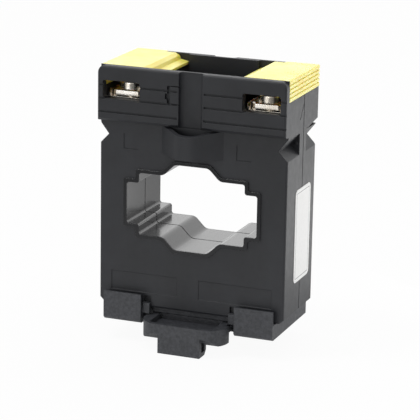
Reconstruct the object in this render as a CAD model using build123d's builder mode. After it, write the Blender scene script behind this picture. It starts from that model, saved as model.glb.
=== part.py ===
from build123d import *
import math
import os

os.makedirs("parts", exist_ok=True)

# Current transformer with a stepped bar window, a head with two screw terminals and a foot
# that snaps on a 35 mm top-hat rail. Millimetres. X is the width, Y the depth (front is -Y)
# and Z is up. The origin is the middle of the rail seat, under the rail clip base.

# Window for the bars or the round conductor
bar_wide_half = 24.7
bar_wide_high = 7.6
bar_step_in = 4.7
bar_step_up = 3.7
round_rise = 4.3
round_flat_half = 6.4
window_fillet = 0.9
round_fillet = 3.0
tube_wall = 1.5
rim_wide = 1.3
rim_proud = 0.6

# Core and winding, a ring round the window's tube
core_thick = 2.8
core_length = 23.6
insulation_thick = 0.25
winding_thick = 0.5
tape_thick = 0.2
layer_gap = 0.02
bore_clear = 0.15
lead_r = 0.7
lead_bend = 1.2
lead_start_in = 6.0
lead_lift = 0.3
lead_knee_in = 1.5
lead_knee_up = 0.6
lead_rise_low = 1.0
lead_rise_high = 4.0

# Case, as wide, deep and high as the ring needs
wall = 1.8
side_clear = 0.8
end_clear = 0.6
floor_clear = 3.7
case_bottom = 5.6
seam_y = 1.2
edge_round = 0.8
seam_groove_half = 0.22
seam_groove_deep = 0.6
foot_chamfer = 1.5

# Head, the wider terminal box on top of the case; each "up" is above its lower edge
head_over_ring = 3.2
head_high = 19.8
head_proud_front = 2.8
head_proud_rear = 2.1
head_chamfer = 1.0
plate_thick = 3.2
plate_corner = 2.6
ledge_up = 12.1
rear_wall_up = 17.7
rear_wall_thick = 1.5
rear_web_r = 6.0
rear_web_thick = 1.8
rear_web_gap = 0.4
rear_slope_high = 1.9
rear_slope_deep = 1.2

# Shallow marks of the mould on the front half
mark_deep = 1.1
step_mark_x = -8.2
step_mark_wide = 1.1
step_mark_up = 8.3
step_mark_tall = 6.4
step_stub_wide = 1.5
step_stub_tall = 2.1
step_stub_down = 0.6
field_deep = 0.2
field_outer_in = 4.7
field_inner_left = 5.3
field_inner_right = 3.0
field_up = 5.2
field_tall = 7.0
corner_left_in = 9.3
corner_right_in = 18.7
corner_down = 9.9
corner_long = 5.4
corner_line = 0.3
corner_line_deep = 0.15
latch_up = 3.7
latch_tall = 5.3
latch_run = 3.8
latch_line = 0.45
latch_deep = 0.3
dot_in = 1.4
dot_down = 4.7
dot_r = 0.6
dot_high = 0.25

# Side notches between the head and the case, below the head's lower edge
notch_low_down = 8.8
notch_mid_down = 5.2
notch_high_down = 0.9
notch_deep = 3.4
notch_front_end = -2.8
notch_rear_end = 4.3

# Screw guide: a groove down the head that ends in an open cup, front and rear
guide_x = 0.0
guide_half = 4.4
guide_deep = 2.2
guide_round = 1.6
cup_root_half = 11.6
cup_nose_half = 3.0
cup_nose_round = 7.0
cup_proud = 7.2
cup_wall = 1.4
cup_high = 10.4
cup_floor = 2.0
cup_rim_drop = 2.0
bar_screw_hole_r = 2.6
bar_screw_out = 3.2

# Grooves across the head's face
groove_ups = (12.9, 8.2, 3.4)
groove_high = 0.7
groove_deep = 0.6
groove_gap = 5.0

# Terminal chambers and the finger recess between them
recess_half = 13.4
recess_up = 5.7
partition = 1.5
chamber_up = 7.2
floor_thick = 1.8
chamber_rear = 14.0

# Wire slots and terminals
terminal_in = 7.3
terminal_y = -8.0
slot_half = 7.0
slot_up = 8.1
slot_tall = 6.6
slot_round = 0.8
terminal_wide = 13.8
terminal_ear = 0.9
terminal_ear_high = 2.4
terminal_ear_cut = 1.4
terminal_front = 5.4
terminal_back = 11.0
terminal_thick = 1.0
tail_wide = 5.0
tail_down = 8.0
tail_clear = 0.15
washer_wide = 11.4
washer_deep = 9.4
washer_thick = 2.5
washer_foot = 0.4
washer_foot_wide = 1.2
washer_corner = 1.4
washer_edge = 0.4
screw_r = 2.4
screw_clear = 0.06
screw_room = 0.4
screw_head_r = 4.3
screw_head_high = 3.1
screw_head_round = 1.0
screw_length = 8.0
screw_point = 0.5
screw_slot_wide = 1.2
screw_slot_deep = 1.3
screw_recess_half = 2.3
nut_wide = 8.0
nut_high = 3.2
nut_clear = 0.1

# Terminal covers
cover_thick = 1.5
cover_round = 0.6
cover_tip_in = 0.4
cover_flat_in = 5.7
cover_knee_in = 4.1
cover_knee_drop = 0.9
cover_foot_in = 3.5
cover_foot_drop = 2.2
cover_tip_drop = 2.8
cover_lip = 0.9
cover_gap = 0.1
cover_front_gap = 0.14
hinge_in = 4.1
hinge_up = 16.3
hinge_pin_r = 0.6
hinge_clear = 0.06
hinge_ear_r = 1.2
hinge_ear_thick = 1.5
hinge_pin_long = 1.1
ridge_count = 4
ridge_high = 0.6
ridge_deep = 0.35

# Rail clip
rail_width = 35.0
rail_lip = 1.0
rail_fit = 0.2
clip_inset = 2.9
clip_proud = 3.1
clip_block_inner = 17.8
clip_block_up = 5.1
clip_arm = 0.9
clip_bevel = 1.0
clip_plate_low = 3.7
shoulder_back = 1.4
shoulder_in = 1.6
pocket_wide = 2.7
pocket_up = 1.8
pocket_high = 2.4
pocket_into = 1.2
claw_half = 14.0
claw_thick = 3.0
claw_reach = 1.8
hook_gap = 0.2
hook_high = 2.2
hook_root = 3.0
foot_depth = 7.4
seat_relief = 0.3
slide_half = 16.0
slide_wing = 1.2
slide_wing_low = 1.0
slide_wing_high = 2.4
slide_clear = 0.25
slide_top = 3.3
slide_low = -2.7
slide_nose = 8.3
slide_round = 7.5
slide_bevel_high = 2.5
slide_bevel_deep = 2.6
slide_short = 4.5
slide_pocket_half = 12.0
slide_pocket_wall = 2.0
slide_pocket_deep = 1.8
tab_half = 8.0
tab_thick = 6.6
tab_slot_front = 2.0
tab_slot_wide = 3.0
tab_slot_low = -5.8
tab_slot_high = -1.5
tab_chamfer = 1.6
spring_r = 1.1
spring_wire = 0.35
spring_turns = 9
spring_long = 12.0
spring_lift = 0.15
spring_bay_half = 1.6
post_thick = 2.0

# Rating label
label_front = -5.6
label_rear = 10.5
label_up = 12.3
label_tall = 34.1
label_round = 2.0
label_thick = 0.15

# How far a cut runs past a surface, and how close two places count as the same
over = 1.0
near = 0.01

# Places worked out from the sizes above: the ring and the case round it
bar_mid_half = bar_wide_half - bar_step_in
bar_mid_high = bar_wide_high + bar_step_up
round_high = bar_mid_high + round_rise
layers_thick = insulation_thick + winding_thick + tape_thick + 3 * layer_gap
tube_corner = math.hypot(bar_wide_half + tube_wall, bar_wide_high + tube_wall)
core_inner_r = tube_corner + bore_clear + layers_thick
core_outer_r = core_inner_r + core_thick
tape_outer_r = core_outer_r + layers_thick
case_width = round(2 * (tape_outer_r + side_clear + wall), 1)
case_depth = round(core_length + 2 * (layers_thick + end_clear + wall), 1)
window_z = round(case_bottom + wall + floor_clear + tape_outer_r, 1)
front_y = -case_depth / 2
rear_y = case_depth / 2
half_width = case_width / 2
cavity_half = half_width - wall

# The head, its chambers and the terminals
head_bottom = round(window_z + tape_outer_r - head_over_ring, 1)
head_top = head_bottom + head_high
head_front_y = front_y - head_proud_front
head_rear_y = rear_y + head_proud_rear
plate_back_y = head_front_y + plate_thick
ledge_z = head_bottom + ledge_up
rear_wall_top = head_bottom + rear_wall_up
recess_floor = head_bottom + recess_up
chamber_floor = head_bottom + chamber_up
chamber_inner = recess_half + partition
notch_low = head_bottom - notch_low_down
notch_mid = head_bottom - notch_mid_down
notch_high = head_bottom - notch_high_down
cup_bottom = head_bottom - cup_high
slot_z = head_bottom + slot_up + slot_tall / 2
terminal_x = cavity_half - terminal_in
terminal_top = chamber_floor + terminal_thick
washer_low = terminal_top + washer_foot
washer_top = terminal_top + washer_thick
hinge_x = recess_half + hinge_in
hinge_z = head_bottom + hinge_up
cover_tip_x = recess_half + cover_tip_in
cover_foot_x = recess_half + cover_foot_in
cover_knee_x = recess_half + cover_knee_in
cover_flat_x = recess_half + cover_flat_in
cover_front_y = plate_back_y + cover_front_gap
rear_web_y = head_rear_y - rear_web_thick
cover_rear_y = rear_web_y - cover_front_gap
pin_hole_deep = hinge_pin_long + cover_front_gap

# The rail clip
clip_half = half_width - clip_inset
clip_front = case_depth / 2 + clip_proud
pocket_low = case_bottom + pocket_up
claw_face_y = rail_width / 2 + rail_fit
slide_front = claw_face_y + slide_nose
slide_back = rail_width / 2 - slide_short


def at_y(y):
    """The plane at depth y, seen from the front: local x is X and local y is Z."""
    return Plane.XZ.offset(-y)


def window_sketch(grow=0.0):
    """The stepped bar window, grown outwards by a wall or a rim."""
    knee_x = round_flat_half + grow * math.tan(math.radians(22.5))
    foot_x = knee_x + round_high - bar_mid_high
    corners = [
        (knee_x, round_high + grow),
        (foot_x, bar_mid_high + grow),
        (bar_mid_half + grow, bar_mid_high + grow),
        (bar_mid_half + grow, bar_wide_high + grow),
        (bar_wide_half + grow, bar_wide_high + grow),
    ]
    lower = [(x, -z) for x, z in reversed(corners)]
    right = corners + lower
    left = [(-x, z) for x, z in reversed(right)]
    with BuildSketch(Plane.XY) as outline:
        with BuildLine():
            Polyline(*right, *left, close=True)
        make_face()
        slopes = outline.vertices().filter_by(lambda v: abs(v.X) < foot_x + near)
        fillet(slopes, round_fillet)
        steps = outline.vertices().filter_by(lambda v: abs(v.X) > bar_mid_half + grow - near)
        fillet(steps, window_fillet)
    return outline.sketch


def guide_sketch(plane, sign):
    """Plan of the screw guide's cup outside, a V with a rounded nose; sign is -1 in front."""
    face = sign * rear_y
    nose = face + sign * cup_proud
    with BuildSketch(plane) as plan:
        with BuildLine():
            Polyline(
                (guide_x - cup_root_half, face - sign * wall / 2),
                (guide_x - cup_root_half, face),
                (guide_x - cup_nose_half, nose),
                (guide_x + cup_nose_half, nose),
                (guide_x + cup_root_half, face),
                (guide_x + cup_root_half, face - sign * wall / 2),
                close=True,
            )
        make_face()
        tip = plan.vertices().filter_by(lambda v: abs(v.Y - nose) < near)
        fillet(tip, cup_nose_round)
    return plan.sketch


def shell(sign):
    """One half of the case with its half of the head; sign is -1 in front and +1 at the rear."""
    face = sign * rear_y
    head_face = head_front_y if sign < 0 else head_rear_y
    lip_face = face + sign * rim_proud
    notch_end = notch_front_end if sign < 0 else notch_rear_end
    low, high = sorted((face, seam_y))
    head_low, head_high = sorted((head_face, seam_y))
    with BuildPart() as half:
        # Outer block, with a soft edge round the face and chamfered lower corners
        with BuildSketch(at_y(high)):
            with Locations((0, (case_bottom + head_top) / 2)):
                Rectangle(case_width, head_top - case_bottom)
        extrude(amount=high - low)
        ends = half.edges().filter_by(Axis.Y).group_by(Axis.Z)[0]
        chamfer(ends, foot_chamfer)
        rim_edges = half.faces().sort_by(Axis.Y)[0 if sign < 0 else -1].edges()
        fillet(rim_edges.filter_by(lambda e: e.center().Z < head_bottom), edge_round)
        with BuildSketch(at_y(head_high)):
            with Locations((0, (head_bottom + head_top) / 2)):
                box = Rectangle(case_width, head_top - head_bottom)
            fillet(box.vertices().group_by(Axis.Y)[-1], plate_corner)
        extrude(amount=head_high - head_low)
        under = half.faces().sort_by(Axis.Y)[0 if sign < 0 else -1].edges()
        chamfer(under.filter_by(Axis.X).group_by(Axis.Z)[0], head_chamfer)
        above = half.faces().sort_by(Axis.Y)[0 if sign < 0 else -1].edges()
        fillet(above.filter_by(lambda e: e.center().Z > head_bottom + 2 * head_chamfer), edge_round)

        # Raised rim round the window and the outside of the screw cup
        with BuildSketch(at_y(max(face, lip_face))):
            with Locations((0, window_z)):
                add(window_sketch(rim_wide))
        extrude(amount=rim_proud)
        with BuildPart(mode=Mode.PRIVATE) as cup:
            add(guide_sketch(Plane.XY.offset(cup_bottom), sign))
            extrude(amount=head_bottom - cup_bottom)
            # The rim falls towards the nose
            reach = cup_proud + over
            fall = cup_rim_drop * reach / cup_proud
            with BuildSketch(Plane.YZ.offset(guide_x - cup_root_half)):
                with BuildLine():
                    Polyline(
                        (face, head_bottom),
                        (face + sign * reach, head_bottom - fall),
                        (face + sign * reach, head_bottom + over),
                        (face, head_bottom + over),
                        close=True,
                    )
                make_face()
            extrude(amount=2 * cup_root_half, mode=Mode.SUBTRACT)
        add(cup.part)

        # Inside: the ring's space, higher in the middle, with the tube round the window left
        with BuildSketch(at_y(max(face - sign * wall, seam_y))) as hollow:
            with BuildLine():
                Polyline(
                    (cavity_half, case_bottom + wall + foot_chamfer),
                    (cavity_half, notch_low - wall),
                    (cavity_half - notch_deep, notch_mid - wall),
                    (cavity_half - notch_deep, chamber_floor - floor_thick),
                    (chamber_inner + partition, chamber_floor - floor_thick),
                    (chamber_inner, recess_floor - wall),
                    (-chamber_inner, recess_floor - wall),
                    (-chamber_inner - partition, chamber_floor - floor_thick),
                    (notch_deep - cavity_half, chamber_floor - floor_thick),
                    (notch_deep - cavity_half, notch_mid - wall),
                    (-cavity_half, notch_low - wall),
                    (-cavity_half, case_bottom + wall + foot_chamfer),
                    (foot_chamfer - cavity_half, case_bottom + wall),
                    (cavity_half - foot_chamfer, case_bottom + wall),
                    close=True,
                )
            make_face()
            with Locations((0, window_z)):
                add(window_sketch(tube_wall), mode=Mode.SUBTRACT)
        extrude(amount=abs(face - sign * wall - seam_y), mode=Mode.SUBTRACT)
        with BuildSketch(at_y(rear_y + cup_proud)):
            with Locations((0, window_z)):
                add(window_sketch())
        extrude(amount=case_depth + 2 * cup_proud, mode=Mode.SUBTRACT)

        # Head: finger recess in the middle and an open chamber on each side
        space_end = plate_back_y if sign < 0 else chamber_rear
        space_low, space_high = sorted((space_end, seam_y))
        with BuildSketch(at_y(space_high)):
            with Locations((0, (recess_floor + head_top + over) / 2)):
                Rectangle(2 * recess_half, head_top + over - recess_floor)
            for side in (-1, 1):
                middle = side * (chamber_inner + cavity_half) / 2
                with Locations((middle, (chamber_floor + head_top + over) / 2)):
                    Rectangle(cavity_half - chamber_inner, head_top + over - chamber_floor)
        extrude(amount=space_high - space_low, mode=Mode.SUBTRACT)

        # Nut bosses under the chamber floor
        if sign < 0:
            boss_wide = nut_wide + 2 * wall
            boss_low = washer_top - screw_length - floor_thick
            with BuildSketch(Plane.XY.offset(boss_low)):
                with Locations((-terminal_x, terminal_y), (terminal_x, terminal_y)):
                    Rectangle(boss_wide, boss_wide)
            extrude(amount=chamber_floor - boss_low)
            with BuildSketch(Plane.XY.offset(chamber_floor - nut_high - nut_clear)):
                with Locations((-terminal_x, terminal_y), (terminal_x, terminal_y)):
                    Rectangle(nut_wide + 2 * nut_clear, nut_wide + 2 * nut_clear)
            extrude(amount=nut_high + nut_clear, mode=Mode.SUBTRACT)
            with BuildSketch(Plane.XY.offset(boss_low + floor_thick - screw_room)):
                with Locations((-terminal_x, terminal_y), (terminal_x, terminal_y)):
                    Circle(screw_r + screw_room)
            extrude(amount=screw_length, mode=Mode.SUBTRACT)

        # Ledge on which the covers sit, below the top of the plate and of the rear middle wall
        ledge_front = plate_back_y if sign < 0 else seam_y
        ledge_back = seam_y if sign < 0 else rear_web_y
        ledge_mid = (ledge_z + head_top + over) / 2
        ledge_high = head_top + over - ledge_z
        for side in (-1, 1):
            with BuildSketch(at_y(ledge_back)):
                with Locations((side * (recess_half + half_width + over) / 2, ledge_mid)):
                    Rectangle(half_width + over - recess_half, ledge_high)
            extrude(amount=ledge_back - ledge_front, mode=Mode.SUBTRACT)
            if sign > 0:
                # The rear middle wall keeps a web round each hinge, with a blind bearing
                with BuildSketch(at_y(head_rear_y + over)):
                    with Locations((side * (hinge_x + half_width + over) / 2, ledge_mid)):
                        Rectangle(half_width + over - hinge_x, ledge_high)
                    with Locations((side * hinge_x, hinge_z)):
                        Circle(rear_web_r, mode=Mode.SUBTRACT)
                extrude(amount=rear_web_thick + over, mode=Mode.SUBTRACT)
                with BuildSketch(at_y(rear_web_y + pin_hole_deep)):
                    with Locations((side * hinge_x, hinge_z)):
                        Circle(hinge_pin_r + hinge_clear)
                extrude(amount=pin_hole_deep, mode=Mode.SUBTRACT)
                # Inner rear wall under the cover
                wall_in = hinge_x + 2 * hinge_ear_r
                wall_out = cavity_half - cover_gap
                with BuildSketch(at_y(chamber_rear + rear_wall_thick)):
                    with Locations((side * (wall_in + wall_out) / 2, (ledge_z + rear_wall_top) / 2)):
                        Rectangle(wall_out - wall_in, rear_wall_top - ledge_z)
                extrude(amount=rear_wall_thick)
                # Slot for the terminal plate's tail
                tail_y = terminal_y + terminal_back
                with BuildSketch(Plane.XY.offset(chamber_floor - floor_thick - over)):
                    with Locations((side * terminal_x, tail_y - terminal_thick / 2)):
                        Rectangle(tail_wide + 2 * tail_clear, terminal_thick + 2 * tail_clear)
                extrude(amount=floor_thick + 2 * over, mode=Mode.SUBTRACT)
            else:
                # Blind bearing in the plate, and the wire slot
                with BuildSketch(at_y(plate_back_y)):
                    with Locations((side * hinge_x, hinge_z)):
                        Circle(hinge_pin_r + hinge_clear)
                extrude(amount=pin_hole_deep, mode=Mode.SUBTRACT)
                with BuildSketch(at_y(plate_back_y + over)):
                    with Locations((side * terminal_x, slot_z)):
                        RectangleRounded(2 * slot_half, slot_tall, slot_round)
                extrude(amount=plate_thick + 2 * over, mode=Mode.SUBTRACT)

        # Screw guide: rounded groove down the head, and the cup's hollow below it
        with BuildSketch(Plane.XY.offset(head_bottom - over)):
            with Locations((guide_x, head_face)):
                RectangleRounded(2 * guide_half, 2 * guide_deep, guide_round)
        extrude(amount=head_top - head_bottom + 2 * over, mode=Mode.SUBTRACT)
        with BuildPart(mode=Mode.PRIVATE) as hollow_cup:
            with BuildSketch(Plane.XY.offset(cup_bottom + cup_floor)):
                add(guide_sketch(Plane.XY, sign))
                offset(amount=-cup_wall, kind=Kind.INTERSECTION)
                with Locations((guide_x, face - sign * wall / 2)):
                    Rectangle(4 * cup_root_half, wall, mode=Mode.SUBTRACT)
            extrude(amount=head_bottom - cup_bottom - cup_floor)
        add(hollow_cup.part, mode=Mode.SUBTRACT)
        with BuildSketch(Plane.XY.offset(cup_bottom - over)):
            with Locations((guide_x, face + sign * bar_screw_out)):
                Circle(bar_screw_hole_r)
        extrude(amount=cup_floor + 2 * over, mode=Mode.SUBTRACT)

        # Side notches, a V from the face inwards
        deep = abs(head_face - notch_end)
        for side in (-1, 1):
            with BuildSketch(at_y(max(head_face, notch_end))):
                with BuildLine():
                    Polyline(
                        (side * (half_width + over), notch_high + over),
                        (side * half_width, notch_high),
                        (side * (half_width - notch_deep), notch_mid),
                        (side * half_width, notch_low),
                        (side * (half_width + over), notch_low - over),
                        close=True,
                    )
                make_face()
            extrude(amount=deep, mode=Mode.SUBTRACT)
            if sign > 0:
                # The upper side of the rear notch rises towards the rear
                with BuildSketch(Plane.YZ.offset(side * half_width)):
                    with BuildLine():
                        Polyline(
                            (notch_end, notch_high),
                            (head_face + over, notch_high),
                            (head_face + over, notch_high + rear_slope_high),
                            close=True,
                        )
                    make_face()
                extrude(amount=rear_slope_deep, both=True, mode=Mode.SUBTRACT)

        # Fine groove where the two halves meet, outside and in the window
        seam_low, seam_high = sorted((seam_y, seam_y + sign * seam_groove_half))
        with BuildSketch(at_y(seam_high)):
            with Locations((0, (case_bottom + head_top) / 2)):
                Rectangle(case_width, head_top - case_bottom)
                Rectangle(case_width - 2 * seam_groove_deep, head_top - case_bottom, mode=Mode.SUBTRACT)
            with Locations((0, window_z)):
                add(window_sketch(seam_groove_deep))
        extrude(amount=seam_high - seam_low, mode=Mode.SUBTRACT)

        # Square pockets low on the face, beside the blocks of the rail clip
        for side in (-1, 1):
            pocket_y = face + pocket_into if sign < 0 else face + over
            with BuildSketch(at_y(pocket_y)):
                with Locations((side * (clip_block_inner - pocket_wide / 2), pocket_low + pocket_high / 2)):
                    Rectangle(pocket_wide, pocket_high)
            extrude(amount=pocket_into + over, mode=Mode.SUBTRACT)

        # Grooves across the head's face
        for height in [head_bottom + up for up in groove_ups]:
            for side in (-1, 1):
                inner = guide_x + side * groove_gap
                outer = side * (half_width + over)
                with BuildSketch(at_y(head_face + groove_deep if sign < 0 else head_face + over)):
                    with Locations(((inner + outer) / 2, height)):
                        Rectangle(abs(outer - inner), groove_high)
                extrude(amount=groove_deep + over, mode=Mode.SUBTRACT)
    return half.part


def front_marks(housing):
    """Shallow lines that the mould leaves on the front half."""
    with BuildPart() as marked:
        add(housing)
        # Stepped line beside the screw guide
        with BuildSketch(at_y(head_front_y + mark_deep)):
            mark_low = head_bottom + step_mark_up
            mark_mid = mark_low + step_mark_tall / 2
            with Locations((step_mark_x, mark_mid)):
                Rectangle(step_mark_wide, step_mark_tall)
            with Locations((step_mark_x - step_mark_wide / 2, mark_mid - step_stub_down)):
                Rectangle(step_stub_wide, step_stub_tall)
            for height in (mark_low, mark_low + step_mark_tall):
                with Locations(((step_mark_x + guide_x - guide_half) / 2, height)):
                    Rectangle(guide_x - guide_half - step_mark_x, groove_high / 2)
        extrude(amount=mark_deep + over, mode=Mode.SUBTRACT)
        # Two sunk fields low on the face and two open corners below the head
        field_outer = half_width - field_outer_in
        field_mid = case_bottom + field_up + field_tall / 2
        with BuildSketch(at_y(front_y + field_deep)):
            for side, field_inner in ((-1, field_inner_left), (1, field_inner_right)):
                with Locations((side * (field_inner + field_outer) / 2, field_mid)):
                    Rectangle(field_outer - field_inner, field_tall)
        extrude(amount=field_deep + over, mode=Mode.SUBTRACT)
        corner_z = head_bottom - corner_down
        with BuildSketch(at_y(front_y + corner_line_deep)):
            for corner_x in (corner_left_in - half_width, half_width - corner_right_in):
                with Locations((corner_x, corner_z + corner_long / 2)):
                    Rectangle(corner_line, corner_long)
                with Locations((corner_x + corner_long / 2, corner_z)):
                    Rectangle(corner_long, corner_line)
        extrude(amount=corner_line_deep + over, mode=Mode.SUBTRACT)
        # Slanted line of the latch on each side of the head
        latch_low = head_bottom + latch_up
        latch_high = latch_low + latch_tall
        for side in (-1, 1):
            with BuildSketch(Plane.YZ.offset(side * half_width)):
                with BuildLine():
                    Polyline(
                        (seam_y, latch_high),
                        (seam_y - latch_run, latch_low),
                        (seam_y - latch_run - latch_line, latch_low),
                        (seam_y - latch_line, latch_high),
                        close=True,
                    )
                make_face()
            extrude(amount=latch_deep, both=True, mode=Mode.SUBTRACT)
        # Ejector dot on the web in each side notch
        with BuildSketch(at_y(notch_front_end)):
            dot_x, dot_z = half_width - dot_in, head_bottom - dot_down
            with Locations((-dot_x, dot_z), (dot_x, dot_z)):
                Circle(dot_r)
        extrude(amount=dot_high)
    return marked.part


with BuildPart() as front_housing:
    add(front_marks(shell(-1)))
front_housing.part.label = "front_housing"
export_step(front_housing.part, "parts/front_housing.step")

with BuildPart() as rear_housing:
    add(shell(1))
rear_housing.part.label = "rear_housing"
export_step(rear_housing.part, "parts/rear_housing.step")


def terminal_cover(side):
    """A cover with its outer and rear skirt and two hinge pins; side is -1 at the left."""
    skirt_in = half_width - cover_thick
    tip_top = head_top - cover_tip_drop
    foot_top = head_top - cover_foot_drop
    skirt_low = ledge_z + cover_gap
    with BuildPart() as cover:
        with BuildSketch(at_y(head_rear_y)):
            with BuildLine():
                Polyline(
                    (side * half_width, skirt_low),
                    (side * half_width, head_top),
                    (side * cover_flat_x, head_top),
                    (side * cover_knee_x, head_top - cover_knee_drop),
                    (side * cover_foot_x, foot_top),
                    (side * cover_tip_x, tip_top),
                    (side * cover_tip_x, tip_top - cover_lip),
                    (side * cover_knee_x, foot_top - cover_lip),
                    (side * cover_flat_x, head_top - cover_thick),
                    (side * skirt_in, head_top - cover_thick),
                    (side * skirt_in, skirt_low),
                    close=True,
                )
            make_face()
        extrude(amount=head_rear_y - cover_front_y)
        # Rear skirt, and a round cut that leaves room for the web of the rear wall
        skirt_high = head_top - cover_thick - skirt_low
        with BuildSketch(at_y(head_rear_y)):
            with Locations((side * (hinge_x + half_width) / 2, skirt_low + skirt_high / 2)):
                Rectangle(half_width - hinge_x, skirt_high)
        extrude(amount=cover_thick)
        with BuildSketch(at_y(head_rear_y + over)):
            with Locations((side * hinge_x, hinge_z)):
                Circle(rear_web_r + rear_web_gap)
        extrude(amount=head_rear_y + over - cover_rear_y, mode=Mode.SUBTRACT)
        # An ear at each end carries a hinge pin
        ear_high = head_top - cover_thick - hinge_z
        for ear_y, pin_y in (
            (cover_front_y + hinge_ear_thick, cover_front_y),
            (cover_rear_y, cover_rear_y + hinge_pin_long),
        ):
            with BuildSketch(at_y(ear_y)):
                with Locations((side * hinge_x, hinge_z)):
                    Circle(hinge_ear_r)
                with Locations((side * (hinge_x + hinge_ear_r / 2), hinge_z + ear_high / 2)):
                    Rectangle(hinge_ear_r, ear_high)
            extrude(amount=hinge_ear_thick)
            with BuildSketch(at_y(pin_y)):
                with Locations((side * hinge_x, hinge_z)):
                    Circle(hinge_pin_r)
            extrude(amount=hinge_pin_long)
        # Grip grooves along the outer skirt
        ridge_step = (head_top - skirt_low) / (ridge_count + 1)
        for row in range(ridge_count):
            with BuildSketch(at_y(head_rear_y + over)):
                with Locations((side * half_width, skirt_low + (row + 1) * ridge_step)):
                    Rectangle(2 * ridge_deep, ridge_high)
            extrude(amount=head_rear_y - cover_front_y + 2 * over, mode=Mode.SUBTRACT)
        top_outer = cover.edges().filter_by(Axis.Y).group_by(Axis.Z)[-1]
        fillet(top_outer.sort_by(lambda e: abs(e.center().X))[-1], cover_round)
    return cover.part


for side, word in ((-1, "left"), (1, "right")):
    cover = terminal_cover(side)
    cover.label = word + "_terminal_cover"
    export_step(cover, "parts/" + word + "_terminal_cover.step")


def terminal_plate(side):
    """The fixed plate on the chamber floor, with a tail bent down through the floor."""
    with BuildPart() as plate:
        with BuildSketch(Plane.XY.offset(chamber_floor)):
            with Locations((side * terminal_x, terminal_y + (terminal_back - terminal_front) / 2)):
                Rectangle(terminal_wide, terminal_front + terminal_back)
        extrude(amount=terminal_thick)
        # Ears that turn up beside the clamp washer, with a cut front corner
        for ear in (-1, 1):
            ear_x = side * terminal_x + ear * (terminal_wide - terminal_ear) / 2
            with BuildSketch(Plane.XY.offset(terminal_top)):
                with Locations((ear_x, terminal_y)):
                    Rectangle(terminal_ear, 2 * terminal_front)
            extrude(amount=terminal_ear_high)
        ear_tops = plate.edges().filter_by(Axis.X).group_by(Axis.Z)[-1]
        chamfer(ear_tops.group_by(Axis.Y)[0], terminal_ear_cut)
        with BuildSketch(Plane.XY.offset(chamber_floor - tail_down)):
            with Locations((side * terminal_x, terminal_y + terminal_back - terminal_thick / 2)):
                Rectangle(tail_wide, terminal_thick)
        extrude(amount=tail_down)
        with BuildSketch(Plane.XY.offset(chamber_floor)):
            with Locations((side * terminal_x, terminal_y)):
                Circle(screw_r + screw_clear)
        extrude(amount=terminal_thick, mode=Mode.SUBTRACT)
    return plate.part


def clamp_washer(side):
    """The loose clamp plate under the screw head, on two feet, with cut corners."""
    with BuildPart() as washer:
        with BuildSketch(Plane.XY.offset(washer_low)) as outline:
            with Locations((side * terminal_x, terminal_y)):
                Rectangle(washer_wide, washer_deep)
            chamfer(outline.vertices(), washer_corner)
            with Locations((side * terminal_x, terminal_y)):
                Circle(screw_r + screw_clear, mode=Mode.SUBTRACT)
        extrude(amount=washer_thick - washer_foot)
        chamfer(washer.faces().sort_by(Axis.Z)[-1].outer_wire().edges(), washer_edge)
        foot_x = (washer_wide - washer_foot_wide) / 2
        with BuildSketch(Plane.XY.offset(terminal_top)):
            feet = [(side * terminal_x + foot * foot_x, terminal_y) for foot in (-1, 1)]
            with Locations(*feet):
                Rectangle(washer_foot_wide, washer_deep - 2 * washer_corner)
        extrude(amount=washer_foot)
    return washer.part


def terminal_screw(side):
    """Pan-head screw with a combined slot and cross recess."""
    with BuildPart() as screw:
        with BuildSketch(Plane.XY.offset(washer_top)):
            with Locations((side * terminal_x, terminal_y)):
                Circle(screw_head_r)
        extrude(amount=screw_head_high)
        fillet(screw.edges().group_by(Axis.Z)[-1], screw_head_round)
        with BuildSketch(Plane.XY.offset(washer_top + screw_head_high - screw_slot_deep)):
            with Locations((side * terminal_x, terminal_y)):
                Rectangle(2 * screw_head_r + over, screw_slot_wide)
                Rectangle(screw_slot_wide, 2 * screw_recess_half)
        extrude(amount=screw_slot_deep, mode=Mode.SUBTRACT)
        with BuildSketch(Plane.XY.offset(washer_top - screw_length)):
            with Locations((side * terminal_x, terminal_y)):
                Circle(screw_r)
        extrude(amount=screw_length)
        chamfer(screw.edges().group_by(Axis.Z)[0], screw_point)
    return screw.part


def terminal_nut(side):
    """Square nut held in the boss under the terminal plate."""
    with BuildPart() as nut:
        with BuildSketch(Plane.XY.offset(chamber_floor - nut_high)):
            with Locations((side * terminal_x, terminal_y)):
                Rectangle(nut_wide, nut_wide)
                Circle(screw_r + screw_clear, mode=Mode.SUBTRACT)
        extrude(amount=nut_high)
    return nut.part


def lead_wire(side):
    """Insulated lead from the top of the winding up the back of the terminal's tail."""
    tail_back = terminal_y + terminal_back
    lead_y = tail_back + lead_r
    start_x = terminal_x - lead_start_in
    start_z = window_z + math.sqrt(tape_outer_r**2 - start_x**2) + lead_r + lead_lift
    tail_low = chamber_floor - tail_down
    with BuildPart() as lead:
        with BuildLine() as path:
            FilletPolyline(
                (side * start_x, lead_y, start_z),
                (side * (terminal_x - lead_knee_in), lead_y, start_z + lead_knee_up),
                (side * terminal_x, lead_y, tail_low + lead_rise_low),
                (side * terminal_x, lead_y, tail_low + lead_rise_high),
                radius=lead_bend,
            )
        with BuildSketch(Plane(origin=path.line @ 0, z_dir=path.line % 0)):
            Circle(lead_r)
        sweep()
    return lead.part


makers = {
    "terminal_plate": terminal_plate,
    "clamp_washer": clamp_washer,
    "terminal_screw": terminal_screw,
    "terminal_nut": terminal_nut,
    "lead_wire": lead_wire,
}
for name, maker in makers.items():
    for side, word in ((-1, "left"), (1, "right")):
        piece = maker(side)
        piece.label = word + "_" + name
        export_step(piece, "parts/" + piece.label + ".step")


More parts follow.
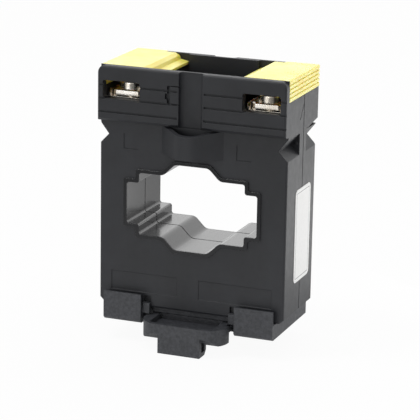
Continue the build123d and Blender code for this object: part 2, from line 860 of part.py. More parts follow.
def ring_layer(inner_r, outer_r, length, thick):
    """A hollow ring skin of the given thickness round the ring inside it, or a solid ring."""
    with BuildPart() as ring:
        with BuildSketch(at_y(length / 2)):
            with Locations((0, window_z)):
                Circle(outer_r)
                Circle(inner_r, mode=Mode.SUBTRACT)
        extrude(amount=length)
        if thick:
            with BuildSketch(at_y(length / 2 - thick)):
                with Locations((0, window_z)):
                    Circle(outer_r - thick)
                    Circle(inner_r + thick, mode=Mode.SUBTRACT)
            extrude(amount=length - 2 * thick, mode=Mode.SUBTRACT)
    return ring.part


grown = 0.0
for name, thick in (
    ("iron_core", 0.0),
    ("core_insulation", insulation_thick),
    ("secondary_winding", winding_thick),
    ("winding_tape", tape_thick),
):
    grown += thick + (layer_gap if thick else 0.0)
    ring = ring_layer(core_inner_r - grown, core_outer_r + grown, core_length + 2 * grown, thick)
    ring.label = name
    export_step(ring, "parts/" + name + ".step")

with BuildPart() as rail_clip_base:
    # Plate under the case, thin in the middle where the slide runs
    with BuildSketch(Plane.XY):
        Rectangle(2 * clip_half, 2 * clip_front)
    extrude(amount=case_bottom)
    # Blocks in front of and behind the case, ending in thin arms
    for side in (-1, 1):
        for sign in (-1, 1):
            block_x = side * (clip_half + clip_block_inner) / 2
            arm_y = sign * (clip_front - clip_arm / 2)
            with BuildSketch(Plane.XY.offset(case_bottom)):
                with Locations((block_x, arm_y)):
                    Rectangle(clip_half - clip_block_inner, clip_arm)
            extrude(amount=clip_block_up)
    # The middle of the front is set back under the case
    set_back = clip_front + front_y + wall
    with BuildSketch(Plane.XY):
        with Locations((0, -clip_front + set_back / 2)):
            Rectangle(2 * clip_block_inner, set_back)
    extrude(amount=case_bottom, mode=Mode.SUBTRACT)
    # Shoulders beside the blocks, under the pockets of the case
    for side in (-1, 1):
        shoulder_y = -clip_front + shoulder_back / 2 + shoulder_in
        with BuildSketch(Plane.XY.offset(clip_plate_low)):
            with Locations((side * (clip_block_inner - pocket_wide / 2), shoulder_y)):
                Rectangle(pocket_wide, shoulder_back)
        extrude(amount=pocket_low - clip_plate_low)
    # Channel for the slide, with a groove for its wings
    channel_half = slide_half - slide_wing + slide_clear
    channel_end = slide_back + slide_clear
    with BuildSketch(Plane.XY):
        with Locations((0, (channel_end - clip_front) / 2)):
            Rectangle(2 * channel_half, clip_front + channel_end)
    extrude(amount=slide_top + slide_clear, mode=Mode.SUBTRACT)
    with BuildSketch(Plane.XY.offset(slide_wing_low - slide_clear)):
        with Locations((0, (channel_end - clip_front) / 2)):
            Rectangle(2 * (slide_half + slide_clear), clip_front + channel_end)
    extrude(amount=slide_wing_high - slide_wing_low + 2 * slide_clear, mode=Mode.SUBTRACT)
    # Fixed claw behind the rail, with its root in the plate
    claw_end = claw_face_y + claw_thick
    claw_y = claw_face_y + claw_thick / 2
    with BuildSketch(Plane.XY):
        with Locations((0, (channel_end + claw_end) / 2)):
            Rectangle(2 * claw_half, claw_end - channel_end)
    extrude(amount=case_bottom)
    with BuildSketch(Plane.XY.offset(-foot_depth)):
        with Locations((0, claw_y)):
            Rectangle(2 * claw_half, claw_thick)
    extrude(amount=foot_depth + case_bottom)
    # The seat is two pads: the plate is relieved over the claw's hook
    with BuildSketch(Plane.XY):
        with Locations((0, (channel_end + claw_face_y) / 2)):
            Rectangle(2 * (claw_half + slide_clear), claw_face_y - channel_end)
    extrude(amount=seat_relief, mode=Mode.SUBTRACT)
    hook_top = -rail_lip - hook_gap
    with BuildSketch(Plane.XY.offset(hook_top - hook_high)):
        with Locations((0, claw_face_y - claw_reach / 2)):
            Rectangle(2 * claw_half, claw_reach)
    extrude(amount=hook_high)
    # Post that holds the front end of the spring
    post_y = -(spring_long + post_thick) / 2
    with BuildSketch(Plane.XY.offset(slide_clear)):
        with Locations((0, post_y)):
            Rectangle(2 * (spring_bay_half - slide_clear), post_thick)
    extrude(amount=slide_top)
    # Bevel under the front blocks
    low_front = rail_clip_base.edges().filter_by(Axis.X).group_by(Axis.Y)[0].sort_by(Axis.Z)[0:2]
    chamfer(low_front, clip_bevel)
rail_clip_base.part.label = "rail_clip_base"
export_step(rail_clip_base.part, "parts/rail_clip_base.step")

with BuildPart() as rail_slide:
    # Plate in the channel
    run_low = slide_clear
    with BuildSketch(Plane.XY.offset(run_low)):
        with Locations((0, -(slide_front - slide_back) / 2)):
            Rectangle(2 * (slide_half - slide_wing), slide_front + slide_back)
    extrude(amount=slide_top - run_low)
    with BuildSketch(Plane.XY.offset(slide_wing_low)):
        with Locations((0, -(slide_front - slide_back) / 2)):
            Rectangle(2 * slide_half, slide_front + slide_back)
    extrude(amount=slide_wing_high - slide_wing_low)
    # Nose in front of the rail, with round corners and a bevel underneath
    nose_back = -claw_face_y
    nose_mid = (nose_back - slide_front) / 2
    with BuildSketch(Plane.XY.offset(slide_low)) as nose:
        with Locations((0, nose_mid)):
            Rectangle(2 * slide_half, nose_back + slide_front)
        fillet(nose.vertices().group_by(Axis.Y)[0], slide_round)
    extrude(amount=slide_top - slide_low)
    with BuildSketch(Plane.YZ.offset(-slide_half - over)):
        with BuildLine():
            Polyline(
                (-slide_front - over, slide_low - over),
                (-slide_front - over, slide_low + slide_bevel_high + slide_bevel_high / slide_bevel_deep),
                (-slide_front, slide_low + slide_bevel_high),
                (-slide_front + slide_bevel_deep, slide_low),
                (-slide_front + slide_bevel_deep, slide_low - over),
                close=True,
            )
        make_face()
    extrude(amount=2 * slide_half + 2 * over, mode=Mode.SUBTRACT)
    # Corners of the plate behind the nose are trimmed to the same round
    with BuildSketch(Plane.XY.offset(slide_low - over)) as trim:
        with Locations((0, -slide_front + slide_round / 2)):
            Rectangle(2 * slide_half + 2 * over, slide_round)
        with BuildSketch(mode=Mode.PRIVATE) as kept:
            with Locations((0, -slide_front + slide_round)):
                Rectangle(2 * slide_half, 2 * slide_round)
            fillet(kept.vertices().group_by(Axis.Y)[0], slide_round)
        add(kept.sketch, mode=Mode.SUBTRACT)
    extrude(amount=slide_top - slide_low + 2 * over, mode=Mode.SUBTRACT)
    # Hook under the rail's front lip
    with BuildSketch(Plane.XY.offset(-rail_lip - hook_gap - hook_high)):
        with Locations((0, nose_back + claw_reach / 2)):
            Rectangle(2 * claw_half, claw_reach)
    extrude(amount=hook_high)
    with BuildSketch(Plane.XY.offset(-rail_lip - hook_gap - hook_high)):
        with Locations((0, nose_back - hook_root / 2)):
            Rectangle(2 * claw_half, hook_root)
    extrude(amount=hook_high)
    # Pull tab with a cross slot for a screwdriver
    with BuildSketch(Plane.XY.offset(-foot_depth)):
        with Locations((0, -slide_front + tab_thick / 2)):
            Rectangle(2 * tab_half, tab_thick)
    extrude(amount=foot_depth)
    tab_rear_low = rail_slide.edges().group_by(Axis.Z)[0].sort_by(Axis.Y)[-1]
    chamfer(tab_rear_low, tab_chamfer)
    with BuildSketch(Plane.YZ.offset(-tab_half - over)):
        tab_slot_y = -slide_front + tab_slot_front + tab_slot_wide / 2
        with Locations((tab_slot_y, (tab_slot_low + tab_slot_high) / 2)):
            Rectangle(tab_slot_wide, tab_slot_high - tab_slot_low)
    extrude(amount=2 * tab_half + 2 * over, mode=Mode.SUBTRACT)
    # Pocket in the top and the bay for the spring
    pocket_y0 = -slide_front + slide_pocket_wall
    pocket_y1 = -slide_back
    with BuildSketch(Plane.XY.offset(slide_top - slide_pocket_deep)):
        with Locations((0, (pocket_y0 + pocket_y1) / 2)):
            Rectangle(2 * slide_pocket_half, pocket_y1 - pocket_y0)
    extrude(amount=slide_pocket_deep, mode=Mode.SUBTRACT)
    bay_front = post_y - post_thick / 2 - slide_clear
    bay_back = spring_long / 2
    with BuildSketch(Plane.XY):
        with Locations((0, (bay_front + bay_back) / 2)):
            Rectangle(2 * spring_bay_half, bay_back - bay_front)
    extrude(amount=slide_top + over, mode=Mode.SUBTRACT)
rail_slide.part.label = "rail_slide"
export_step(rail_slide.part, "parts/rail_slide.step")

with BuildPart() as slide_spring:
    spring_z = slide_clear + spring_r + spring_wire / 2 + spring_lift
    coil_r = spring_r - spring_wire / 2
    spring_start = -spring_long / 2 + spring_wire
    coil_length = spring_long - 2 * spring_wire
    with BuildLine() as coil:
        Helix(
            pitch=coil_length / spring_turns,
            height=coil_length,
            radius=coil_r,
            center=(0, spring_start, spring_z),
            direction=(0, 1, 0),
        )
    with BuildSketch(Plane(origin=coil.line @ 0, z_dir=coil.line % 0)):
        Circle(spring_wire / 2)
    sweep()
slide_spring.part.label = "slide_spring"
export_step(slide_spring.part, "parts/slide_spring.step")

with BuildPart() as rating_label:
    with BuildSketch(Plane.YZ.offset(half_width)):
        with Locations(((label_front + label_rear) / 2, case_bottom + label_up + label_tall / 2)):
            RectangleRounded(label_rear - label_front, label_tall, label_round)
    extrude(amount=label_thick)
rating_label.part.label = "rating_label"
export_step(rating_label.part, "parts/rating_label.step")
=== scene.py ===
import math

import bpy
from mathutils import Matrix, Vector


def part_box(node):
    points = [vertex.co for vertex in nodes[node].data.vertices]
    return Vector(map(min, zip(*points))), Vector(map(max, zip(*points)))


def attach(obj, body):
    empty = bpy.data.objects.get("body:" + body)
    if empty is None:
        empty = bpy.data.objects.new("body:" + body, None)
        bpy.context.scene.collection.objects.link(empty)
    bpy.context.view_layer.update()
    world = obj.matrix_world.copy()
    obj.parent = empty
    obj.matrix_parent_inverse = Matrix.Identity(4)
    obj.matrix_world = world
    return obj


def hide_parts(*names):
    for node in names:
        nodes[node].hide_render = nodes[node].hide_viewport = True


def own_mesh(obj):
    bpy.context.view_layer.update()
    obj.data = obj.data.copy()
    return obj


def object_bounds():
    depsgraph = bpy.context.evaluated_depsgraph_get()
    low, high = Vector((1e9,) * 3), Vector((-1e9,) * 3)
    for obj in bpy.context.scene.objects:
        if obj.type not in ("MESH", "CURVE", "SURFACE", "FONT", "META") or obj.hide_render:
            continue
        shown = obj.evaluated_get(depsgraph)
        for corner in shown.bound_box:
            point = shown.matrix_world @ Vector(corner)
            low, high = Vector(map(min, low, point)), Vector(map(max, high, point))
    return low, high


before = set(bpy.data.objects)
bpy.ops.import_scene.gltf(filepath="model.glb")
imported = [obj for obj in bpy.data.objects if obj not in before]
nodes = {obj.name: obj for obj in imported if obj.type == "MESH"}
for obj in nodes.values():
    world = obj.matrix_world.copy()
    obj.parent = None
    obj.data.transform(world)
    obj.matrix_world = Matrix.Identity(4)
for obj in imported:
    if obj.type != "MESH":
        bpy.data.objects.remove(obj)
cad_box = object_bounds()

# The camera
# Stands in front and a little to the right and above, with a long lens, as for a catalogue picture.
yaw, rise, roll = math.radians(20.978), math.radians(15.267), math.radians(1.02)
camera_place = Vector((0.272161, -0.706832, 0.246587))
ahead = Vector((-math.sin(yaw) * math.cos(rise), math.cos(yaw) * math.cos(rise), -math.sin(rise)))
level = Vector((math.cos(yaw), math.sin(yaw), 0.0))
upward = level.cross(ahead)
right = level * math.cos(roll) + upward * math.sin(roll)
upright = upward * math.cos(roll) - level * math.sin(roll)
lens = bpy.data.cameras.new("camera")
lens.sensor_fit = "HORIZONTAL"
lens.sensor_width = 36.0
lens.lens = 187.14
lens.clip_start, lens.clip_end = 0.05, 20.0
camera = bpy.data.objects.new("camera", lens)
camera_turn = Matrix((right, upright, -ahead)).transposed().to_4x4()
camera.matrix_world = Matrix.Translation(camera_place) @ camera_turn
bpy.context.scene.collection.objects.link(camera)
bpy.context.scene.camera = camera
bpy.context.scene.view_settings.view_transform = "Standard"


# The two halves of the case
# Glass-filled polyamide, injection moulded in near-black, clipped together along a seam near the
# middle. The outside is satin from the mould's fine texture, the window's rim and walls are smoother,
# and they are painted a deeper black as painted shade.
class Flow:
    """A socket in a node tree. Sums written on it add Math nodes."""

    def __init__(self, tree, socket):
        self.tree, self.socket = tree, socket

    def math(self, operation, *others):
        node = self.tree.nodes.new("ShaderNodeMath")
        node.operation = operation
        for place, value in zip(node.inputs, (self,) + others):
            join(self.tree, place, value)
        return Flow(self.tree, node.outputs[0])

    def turned(self, operation, other):
        node = self.tree.nodes.new("ShaderNodeMath")
        node.operation = operation
        join(self.tree, node.inputs[0], other)
        join(self.tree, node.inputs[1], self)
        return Flow(self.tree, node.outputs[0])

    def __add__(self, other):
        return self.math("ADD", other)

    def __radd__(self, other):
        return self.math("ADD", other)

    def __sub__(self, other):
        return self.math("SUBTRACT", other)

    def __rsub__(self, other):
        return self.turned("SUBTRACT", other)

    def __mul__(self, other):
        return self.math("MULTIPLY", other)

    def __rmul__(self, other):
        return self.math("MULTIPLY", other)

    def __truediv__(self, other):
        return self.math("DIVIDE", other)


def join(tree, place, value):
    """Sets an input socket to a number or colour, or links a Flow to it."""
    if isinstance(value, Flow):
        tree.links.new(value.socket, place)
    else:
        place.default_value = value


class Finish:
    """A procedural material: one shader, and a method that makes any other node."""

    def __init__(self, name, colour, roughness, **sockets):
        self.material = bpy.data.materials.new(name)
        self.material.use_nodes = True
        self.tree = self.material.node_tree
        self.tree.nodes.clear()
        self.shader = self.tree.nodes.new("ShaderNodeBsdfPrincipled")
        output = self.tree.nodes.new("ShaderNodeOutputMaterial")
        self.tree.links.new(self.shader.outputs[0], output.inputs[0])
        self.set("Base Color", (*colour, 1.0))
        self.set("Roughness", roughness)
        for socket, value in sockets.items():
            self.set(socket.replace("_", " "), value)
        self.place = self.make("TexCoord", output="Object")

    def set(self, socket, value):
        join(self.tree, self.shader.inputs[socket], value)

    def make(self, kind, settings=None, output=0, **inputs):
        node = self.tree.nodes.new("ShaderNode" + kind)
        for key, value in (settings or {}).items():
            setattr(node, key, value)
        for name, value in inputs.items():
            key = int(name[1:]) if name[0] == "i" and name[1:].isdigit() else name.replace("_", " ")
            join(self.tree, node.inputs[key], value)
        return Flow(self.tree, node.outputs[output])

    def noise(self, scale, detail=2.0, place=None, roughness=0.5):
        return self.make("TexNoise", output="Fac", Vector=place or self.place, Scale=scale, Detail=detail,
                         Roughness=roughness)

    def blend(self, share, first, second):
        return self.make("Mix", {"data_type": "RGBA"}, output=2, i0=share, i6=first, i7=second)

    def band(self, value, low, high):
        return self.make("MapRange", {"interpolation_type": "SMOOTHSTEP", "clamp": True},
                         i0=value, i1=low, i2=high, i3=0.0, i4=1.0)

    def relief(self, height, strength, distance, edge=0.0):
        bump = {"Height": height, "Strength": strength, "Distance": distance}
        if edge:
            bump["Normal"] = self.make("Bevel", {"samples": 6}, Radius=edge)
        self.set("Normal", self.make("Bump", **bump))

    def parts(self):
        split = self.tree.nodes.new("ShaderNodeSeparateXYZ")
        join(self.tree, split.inputs[0], self.place)
        return [Flow(self.tree, out) for out in split.outputs]

    def wear(self, *names):
        for name in names:
            nodes[name].data.materials.clear()
            nodes[name].data.materials.append(self.material)


def middle(box, axis):
    """The middle of a box along one axis."""
    return (box[0][axis] + box[1][axis]) / 2.0


window_low, window_high = 0.0285, 0.0591
window_half = 0.0248
rim_wide = 0.0014
face_depth = 0.0152
face_slack = 0.00006
case_dark = (0.0090, 0.0098, 0.0125, 1.0)
case_pale = (0.0140, 0.0152, 0.0190, 1.0)
# A deeper black for the window's rim and walls: painted shade.
rim_painted_shade = (0.0060, 0.0065, 0.0080, 1.0)
case_finish = Finish("case_polyamide", case_dark[:3], 0.42, Specular_IOR_Level=0.5)
cloudy = case_finish.noise(55.0, 4.0)
fine = case_finish.noise(2600.0, 2.0)
coarse = case_finish.noise(420.0, 3.0)
streaks = case_finish.noise(9.0, 3.0, place=case_finish.make(
    "Mapping", Vector=case_finish.place, Scale=(60.0, 60.0, 6.0)))
across, deep, high = case_finish.parts()
half_depth = deep.math("ABSOLUTE")
off_face = (half_depth - face_depth).math("ABSOLUTE").math("GREATER_THAN", face_slack)
in_width = across.math("ABSOLUTE").math("LESS_THAN", window_half + rim_wide)
in_height = (high.math("GREATER_THAN", window_low - rim_wide)
             * high.math("LESS_THAN", window_high + rim_wide))
# The window's rim and walls: smoother there, and painted a deeper black as painted shade.
smooth_and_shaded_rim = off_face * in_width * in_height
mottled = case_finish.blend(case_finish.band(cloudy, 0.35, 0.7), case_dark, case_pale)
case_finish.set("Base Color", case_finish.blend(smooth_and_shaded_rim, mottled, rim_painted_shade))
satin = 0.44 + 0.14 * coarse + 0.06 * streaks
case_finish.set("Roughness", satin - smooth_and_shaded_rim * (satin - 0.2))
case_finish.relief((fine * 0.7 + coarse * 0.3) * (1.0 - smooth_and_shaded_rim), 0.4, 0.00006, edge=0.0003)
case_finish.wear("front_housing", "rear_housing")


# The rail clip base and its slide
# Two mouldings in a matt, finely spark-eroded black. The slide's tab is pulled with a screwdriver.
clip_dark = (0.024, 0.026, 0.030, 1.0)
clip_pale = (0.054, 0.056, 0.064, 1.0)
clip_finish = Finish("clip_polyamide", clip_dark[:3], 0.55, Specular_IOR_Level=0.5)
grit = clip_finish.noise(1900.0, 3.0, roughness=0.65)
patch = clip_finish.noise(780.0, 4.0, roughness=0.7)
clip_finish.set("Base Color", clip_finish.blend(clip_finish.band(patch, 0.3, 0.72), clip_dark, clip_pale))
clip_finish.set("Roughness", 0.44 + 0.2 * grit)
clip_finish.relief(grit * 0.6 + patch * 0.4, 0.6, 0.00011, edge=0.0003)
clip_finish.wear("rail_clip_base", "rail_slide")


# The terminal covers
# Two hinged lids in yellow polycarbonate that lets a little light through, glossy on top, with
# grip ridges along the outer skirt.
cover_bright = (0.93, 0.84, 0.20, 1.0)
cover_deep = (0.90, 0.74, 0.09, 1.0)
cover_finish = Finish("cover_polycarbonate", cover_bright[:3], 0.3, Specular_IOR_Level=0.5,
                      Subsurface_Weight=0.35, Subsurface_Scale=0.0012, Subsurface_Radius=(1.0, 0.7, 0.1))
soft = cover_finish.noise(70.0, 3.0)
grain = cover_finish.noise(2200.0, 2.0)
cover_mix = cover_finish.blend(cover_finish.band(soft, 0.3, 0.75), cover_bright, cover_deep)
cover_finish.set("Base Color", cover_mix)
cover_finish.set("Roughness", 0.24 + 0.12 * soft + 0.05 * grain)
cover_finish.relief(grain, 0.2, 0.00004, edge=0.00012)
cover_finish.wear("left_terminal_cover", "right_terminal_cover")


# The terminal plates, clamp plates and screws
# Nickel-plated brass: a bent plate that goes down to the winding, a loose clamp plate above it
# and a pan-head screw with a combined slot and cross recess.
nickel_finish = Finish("nickel_plate", (0.95, 0.90, 0.82), 0.22, Metallic=1.0)
brushed = nickel_finish.noise(900.0, 3.0)
spots = nickel_finish.noise(160.0, 4.0)
nickel_bright, nickel_warm = (0.97, 0.93, 0.86, 1.0), (0.86, 0.78, 0.66, 1.0)
nickel_mix = nickel_finish.blend(nickel_finish.band(spots, 0.35, 0.75), nickel_bright, nickel_warm)
nickel_finish.set("Base Color", nickel_mix)
nickel_finish.set("Roughness", 0.14 + 0.16 * spots + 0.06 * brushed)
nickel_finish.relief(brushed, 0.25, 0.00004, edge=0.0002)
nickel_finish.wear("left_terminal_plate", "right_terminal_plate", "left_clamp_washer", "right_clamp_washer",
                   "left_terminal_screw", "right_terminal_screw")

# The square nuts
# Zinc-plated steel, held under the terminal plates.
zinc_finish = Finish("zinc_plate", (0.62, 0.63, 0.66), 0.35, Metallic=1.0)
frosted = zinc_finish.noise(500.0, 4.0)
zinc_finish.set("Roughness", 0.25 + 0.25 * frosted)
zinc_finish.relief(frosted, 0.3, 0.00005, edge=0.00025)
zinc_finish.wear("left_terminal_nut", "right_terminal_nut")

# The lead wires
# Fine wire in red sleeving, from the winding up to the tails of the terminal plates.
lead_finish = Finish("red_sleeve", (0.45, 0.03, 0.02), 0.45, Specular_IOR_Level=0.5)
ribbed = lead_finish.noise(1500.0, 2.0)
lead_finish.set("Roughness", 0.38 + 0.15 * ribbed)
lead_finish.relief(ribbed, 0.3, 0.00004)
lead_finish.wear("left_lead_wire", "right_lead_wire")

# The ring core
# Thin grain-oriented steel strip wound to a ring and annealed, so its ends show fine rings.
strip_thick = 0.00028
core_finish = Finish("core_strip", (0.30, 0.31, 0.34), 0.4, Metallic=1.0)
core_z = middle(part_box("iron_core"), 2)
across, deep, high = core_finish.parts()
radius = (across * across + (high - core_z) * (high - core_z)).math("SQRT")
layers = (radius * (2.0 * math.pi / strip_thick)).math("SINE")
stain = core_finish.noise(120.0, 4.0)
core_bright, core_stained = (0.34, 0.35, 0.38, 1.0), (0.22, 0.20, 0.24, 1.0)
core_finish.set("Base Color", core_finish.blend(core_finish.band(stain, 0.3, 0.8), core_bright, core_stained))
core_finish.set("Roughness", 0.34 + 0.16 * stain)
core_finish.relief(layers, 0.4, 0.00005)
core_finish.wear("iron_core")

# The film round the core
# Polyester film, wrapped with an overlap before the winding goes on.
film_finish = Finish("polyester_film", (0.72, 0.69, 0.56), 0.28, Specular_IOR_Level=0.5)
crinkle = film_finish.noise(240.0, 3.0)
film_finish.set("Roughness", 0.2 + 0.2 * crinkle)
film_finish.relief(crinkle, 0.4, 0.0001)
film_finish.wear("core_insulation")

# The secondary winding
# Enamelled copper wire, wound side by side through the ring, each turn a loop round the core's
# section. Heat from varnishing leaves it a little tarnished.
winding = nodes["secondary_winding"]
winding_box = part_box("secondary_winding")
ring_z = middle(winding_box, 2)
radii = [math.hypot(v.co.x, v.co.z - ring_z) for v in winding.data.vertices]
winding_inner, winding_outer = min(radii), max(radii)
wire_thick = 0.00044
wire_pitch = wire_thick * 1.06
turn_wide = winding_outer - winding_inner - wire_thick
turn_deep = winding_box[1][1] - winding_box[0][1] - wire_thick
turn_count = int(2.0 * math.pi * winding_inner / wire_pitch)


class Rule:
    """A Geometry Nodes tree in the making, with one method for inputs and one for any other node."""

    def __init__(self, name):
        self.tree = bpy.data.node_groups.new(name, "GeometryNodeTree")
        self.tree.interface.new_socket("Geometry", in_out="OUTPUT", socket_type="NodeSocketGeometry")
        self.entry = self.tree.nodes.new("NodeGroupInput")
        self.values = {}

    def size(self, name, kind, value):
        socket = self.tree.interface.new_socket(name, in_out="INPUT", socket_type="NodeSocket" + kind)
        self.values[socket.identifier] = value
        return Flow(self.tree, self.entry.outputs[name])

    def make(self, kind, settings=None, output=0, **inputs):
        node = self.tree.nodes.new(kind)
        for key, value in (settings or {}).items():
            setattr(node, key, value)
        for name, value in inputs.items():
            key = int(name[1:]) if name[0] == "i" and name[1:].isdigit() else name.replace("_", " ")
            join(self.tree, node.inputs[key], value)
        return Flow(self.tree, node.outputs[output])

    def grown(self, name, geometry, material):
        """Runs the tree once and gives its result as an object with a plain mesh."""
        whole = self.make("GeometryNodeRealizeInstances", Geometry=geometry)
        dressed = self.make("GeometryNodeSetMaterial", Geometry=whole, Material=material)
        end = self.tree.nodes.new("NodeGroupOutput")
        self.tree.links.new(dressed.socket, end.inputs[0])
        holder = bpy.data.objects.new(name + "_rule", bpy.data.meshes.new(name + "_rule"))
        bpy.context.scene.collection.objects.link(holder)
        modifier = holder.modifiers.new("rule", "NODES")
        modifier.node_group = self.tree
        for identifier, value in self.values.items():
            modifier[identifier] = value
        ready = holder.evaluated_get(bpy.context.evaluated_depsgraph_get())
        piece = bpy.data.objects.new(name, bpy.data.meshes.new_from_object(ready))
        bpy.data.objects.remove(holder)
        bpy.context.scene.collection.objects.link(piece)
        return piece


copper_finish = Finish("enamelled_copper", (0.62, 0.24, 0.09), 0.3, Metallic=1.0, Coat_Weight=0.6)
tarnish = copper_finish.noise(150.0, 3.0)
scuffs = copper_finish.noise(1400.0, 2.0)
copper_bright, copper_dull = (0.68, 0.27, 0.10, 1.0), (0.50, 0.17, 0.06, 1.0)
copper_mix = copper_finish.blend(copper_finish.band(tarnish, 0.3, 0.8), copper_bright, copper_dull)
copper_finish.set("Base Color", copper_mix)
copper_finish.set("Roughness", 0.22 + 0.12 * tarnish)
copper_finish.relief(scuffs, 0.2, 0.00003)

rule = Rule("winding_turns")
count = rule.size("Turns", "Int", turn_count)
thick = rule.size("Wire thickness", "Float", wire_thick)
wide = rule.size("Loop across", "Float", turn_wide)
long = rule.size("Loop along", "Float", turn_deep)
middle_r = rule.size("Ring radius", "Float", (winding_inner + winding_outer) / 2.0)
centre_z = rule.size("Ring height", "Float", ring_z)
loop = rule.make("GeometryNodeCurvePrimitiveQuadrilateral", Width=wide, Height=long)
loop = rule.make("GeometryNodeFilletCurve", {"mode": "POLY"}, Curve=loop, Radius=thick * 0.9, Count=2)
round_wire = rule.make("GeometryNodeCurvePrimitiveCircle", Resolution=6, Radius=thick * 0.5)
turn = rule.make("GeometryNodeCurveToMesh", Curve=loop, i1=round_wire)
outwards = rule.make("ShaderNodeCombineXYZ", X=middle_r)
turn = rule.make("GeometryNodeTransform", Geometry=turn, Translation=outwards)
dots = rule.make("GeometryNodePoints", Count=count)
angle = rule.make("GeometryNodeInputIndex") * (2.0 * math.pi) / count
spin = rule.make("ShaderNodeCombineXYZ", Y=angle)
ring = rule.make("GeometryNodeInstanceOnPoints", Points=dots, Instance=turn, Rotation=spin)
raised = rule.make("ShaderNodeCombineXYZ", Z=centre_z)
ring = rule.make("GeometryNodeTransform", Geometry=ring, Translation=raised)
turns = rule.grown("winding_turns", ring, copper_finish.material)
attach(turns, "case")
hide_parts("secondary_winding")

# The tape over the winding
# Yellow polyester tape, wound on a slant with half an overlap.
tape_laps, tape_slant = 24.0, 60.0
tape_finish = Finish("polyester_tape", (0.74, 0.60, 0.16), 0.3, Specular_IOR_Level=0.5)
across, deep, high = tape_finish.parts()
angle = (high - ring_z).math("ARCTAN2", across)
laps = (angle * (tape_laps / (2.0 * math.pi)) + deep * tape_slant).math("FRACT")
creases = tape_finish.noise(300.0, 3.0)
lap_edge, lap_face = (0.62, 0.48, 0.10, 1.0), (0.80, 0.66, 0.20, 1.0)
tape_finish.set("Base Color", tape_finish.blend(tape_finish.band(laps, 0.0, 0.15), lap_edge, lap_face))
tape_finish.set("Roughness", 0.24 + 0.16 * creases)
tape_finish.relief(laps + creases * 0.3, 0.4, 0.00015)
tape_finish.wear("winding_tape")

# The slide's spring
# Music wire, coiled cold as a compression spring, with the drawing die's fine lines. It stands
# between a post of the clip and the slide, and in the real clip gets shorter as the slide is pulled;
# here it is built once at its resting length and stays with the case.
spring_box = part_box("slide_spring")
spring_r = (spring_box[1][0] - spring_box[0][0]) / 2.0
spring_wire = 0.00035
spring_coils = 9
spring_long = spring_box[1][1] - spring_box[0][1]
spring_z = middle(spring_box, 2)
wire_finish = Finish("music_wire", (0.55, 0.55, 0.57), 0.3, Metallic=1.0)
drawn = wire_finish.noise(1200.0, 2.0)
wire_finish.set("Roughness", 0.22 + 0.2 * drawn)
wire_finish.relief(drawn, 0.2, 0.00003)

rule = Rule("spring_coil")
coils = rule.size("Coils", "Float", float(spring_coils))
reach = rule.size("Coil radius", "Float", spring_r - spring_wire / 2.0)
long = rule.size("Coil length", "Float", spring_long - spring_wire)
thick = rule.size("Wire thickness", "Float", spring_wire)
front = rule.size("Front end", "Float", spring_box[0][1] + spring_wire / 2.0)
centre_z = rule.size("Height", "Float", spring_z)
coil = rule.make("GeometryNodeCurveSpiral", Resolution=20, Rotations=coils, Start_Radius=reach,
                 End_Radius=reach, Height=long)
round_wire = rule.make("GeometryNodeCurvePrimitiveCircle", Resolution=10, Radius=thick * 0.5)
tube = rule.make("GeometryNodeCurveToMesh", Curve=coil, i1=round_wire, Fill_Caps=True)
spot = rule.make("ShaderNodeCombineXYZ", Y=front, Z=centre_z)
laid_back = (-math.pi / 2.0, 0.0, 0.0)
laid = rule.make("GeometryNodeTransform", Geometry=tube, Translation=spot, Rotation=laid_back)
spring = rule.grown("spring_coil", laid, wire_finish.material)
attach(spring, "case")
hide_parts("slide_spring")
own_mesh(spring)

# The rating label
# White film on the right side, left blank but for a thin ruled frame.
label_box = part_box("rating_label")
frame_inset = 0.0014
frame_half_y = (label_box[1][1] - label_box[0][1]) / 2.0 - frame_inset
frame_half_z = (label_box[1][2] - label_box[0][2]) / 2.0 - frame_inset
rule_half = 0.00012
label_finish = Finish("label_film", (0.90, 0.90, 0.89), 0.6, Specular_IOR_Level=0.15)
paper = label_finish.noise(800.0, 3.0)
across, deep, high = label_finish.parts()
from_side = (deep - middle(label_box, 1)).math("ABSOLUTE") - frame_half_y
from_end = (high - middle(label_box, 2)).math("ABSOLUTE") - frame_half_z
from_frame = from_side.math("MAXIMUM", from_end).math("ABSOLUTE")
ruled = from_frame.math("LESS_THAN", rule_half)
film_white, film_grey = (0.90, 0.90, 0.89, 1.0), (0.86, 0.86, 0.85, 1.0)
film = label_finish.blend(label_finish.band(paper, 0.3, 0.8), film_white, film_grey)
label_finish.set("Base Color", label_finish.blend(ruled, film, (0.30, 0.30, 0.31, 1.0)))
label_finish.set("Roughness", 0.6 + 0.12 * paper)
label_finish.relief(paper, 0.15, 0.00003)
label_finish.wear("rating_label")


# The floor, the backdrop and the lights
# A white studio table, which for mirror rays also glows in front of the object as painted light,
# fading away from it. Soft boxes stand above, to the right, behind and in front, with a small
# panel close to the right side and a low strip in front for the terminals' metal.
floor_z, floor_half = cad_box[0][2], 4.0
floor_mesh = bpy.data.meshes.new("floor")
corners = [(x * floor_half, y * floor_half, floor_z) for x, y in ((-1, -1), (1, -1), (1, 1), (-1, 1))]
floor_mesh.from_pydata(corners, [], [(0, 1, 2, 3)])
floor = bpy.data.objects.new("floor", floor_mesh)
bpy.context.scene.collection.objects.link(floor)
table_top = bpy.data.materials.new("table_top")
table_top.use_nodes = True
tree = table_top.node_tree
tree.nodes.clear()
matt = tree.nodes.new("ShaderNodeBsdfDiffuse")
matt.inputs["Color"].default_value = (0.86, 0.86, 0.86, 1.0)
white = tree.nodes.new("ShaderNodeEmission")
rays = tree.nodes.new("ShaderNodeLightPath")
place = tree.nodes.new("ShaderNodeSeparateXYZ")
join(tree, place.inputs[0], Flow(tree, tree.nodes.new("ShaderNodeTexCoord").outputs["Object"]))
seen = Flow(tree, rays.outputs["Is Camera Ray"])
mirrored = Flow(tree, rays.outputs["Is Glossy Ray"])
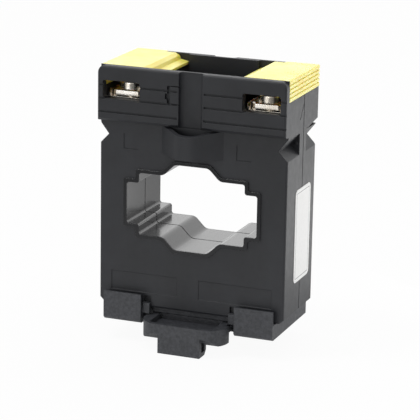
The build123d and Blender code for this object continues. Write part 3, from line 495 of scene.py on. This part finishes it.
# For mirror rays the floor in front glows, full next to the object and fading further away: painted light,
# which the front faces show as a painted reflection, lighter low down and darker higher up.
painted_floor_glow = (Flow(tree, place.outputs["Y"]) * 4.0 + 1.32).math("MINIMUM", 1.0).math("MAXIMUM", 0.05)
in_front = (Flow(tree, place.outputs["Y"]) * -12.0 + 0.4).math("MINIMUM", 1.0).math("MAXIMUM", 0.0)
join(tree, white.inputs["Strength"], painted_floor_glow + seen * (1.0 - painted_floor_glow))
share = (seen * 0.94).math("MAXIMUM", mirrored * in_front)
mixed = tree.nodes.new("ShaderNodeMixShader")
join(tree, mixed.inputs[0], share)
tree.links.new(matt.outputs[0], mixed.inputs[1])
tree.links.new(white.outputs[0], mixed.inputs[2])
end = tree.nodes.new("ShaderNodeOutputMaterial")
tree.links.new(mixed.outputs[0], end.inputs[0])
floor_mesh.materials.append(table_top)

world = bpy.data.worlds.new("studio")
bpy.context.scene.world = world
world.use_nodes = True
tree = world.node_tree
tree.nodes.clear()
rays = tree.nodes.new("ShaderNodeLightPath")
seen = Flow(tree, rays.outputs["Is Camera Ray"])
seen = seen.math("MAXIMUM", Flow(tree, rays.outputs["Is Transmission Ray"]))
seen = seen.math("MAXIMUM", Flow(tree, rays.outputs["Is Glossy Ray"]) * 0.5)
around = tree.nodes.new("ShaderNodeBackground")
join(tree, around.inputs["Color"], (1.0, 1.0, 1.0, 1.0))
join(tree, around.inputs["Strength"], 0.45 + seen * 0.55)
end = tree.nodes.new("ShaderNodeOutputWorld")
tree.links.new(around.outputs[0], end.inputs[0])


def soft_box(name, place, target, wide, high, glow):
    """A rectangular lamp that looks at a point; glow is its brightness, where 1 is white."""
    lamp = bpy.data.lights.new(name, "AREA")
    lamp.shape, lamp.size, lamp.size_y = "RECTANGLE", wide, high
    lamp.energy = glow * math.pi * wide * high
    holder = bpy.data.objects.new(name, lamp)
    holder.location = place
    holder.rotation_euler = (Vector(target) - Vector(place)).to_track_quat("-Z", "Y").to_euler()
    holder.visible_camera = False
    bpy.context.scene.collection.objects.link(holder)


aim = (0.0, 0.0, 0.05)
soft_box("top_box", (0.1, 0.1, 1.0), aim, 0.9, 0.7, 1.3)
soft_box("edge_box", (-0.36, -0.28, 0.95), aim, 0.25, 0.25, 14.0)
soft_box("right_box", (1.1, 0.35, 0.4), aim, 0.8, 0.7, 0.6)
soft_box("back_box", (-0.1, 1.4, 0.5), aim, 1.6, 0.9, 1.2)
soft_box("side_panel", (0.120, 0.115, 0.037), (0.065, 0.03, 0.17), 0.14, 0.17, 1.5)
soft_box("front_box", (-0.2, -1.2, 0.16), aim, 0.5, 0.5, 2.3)
soft_box("low_strip", (-0.14, -0.36, 0.022), (0.0, 0.0, 0.075), 0.22, 0.05, 1.7)
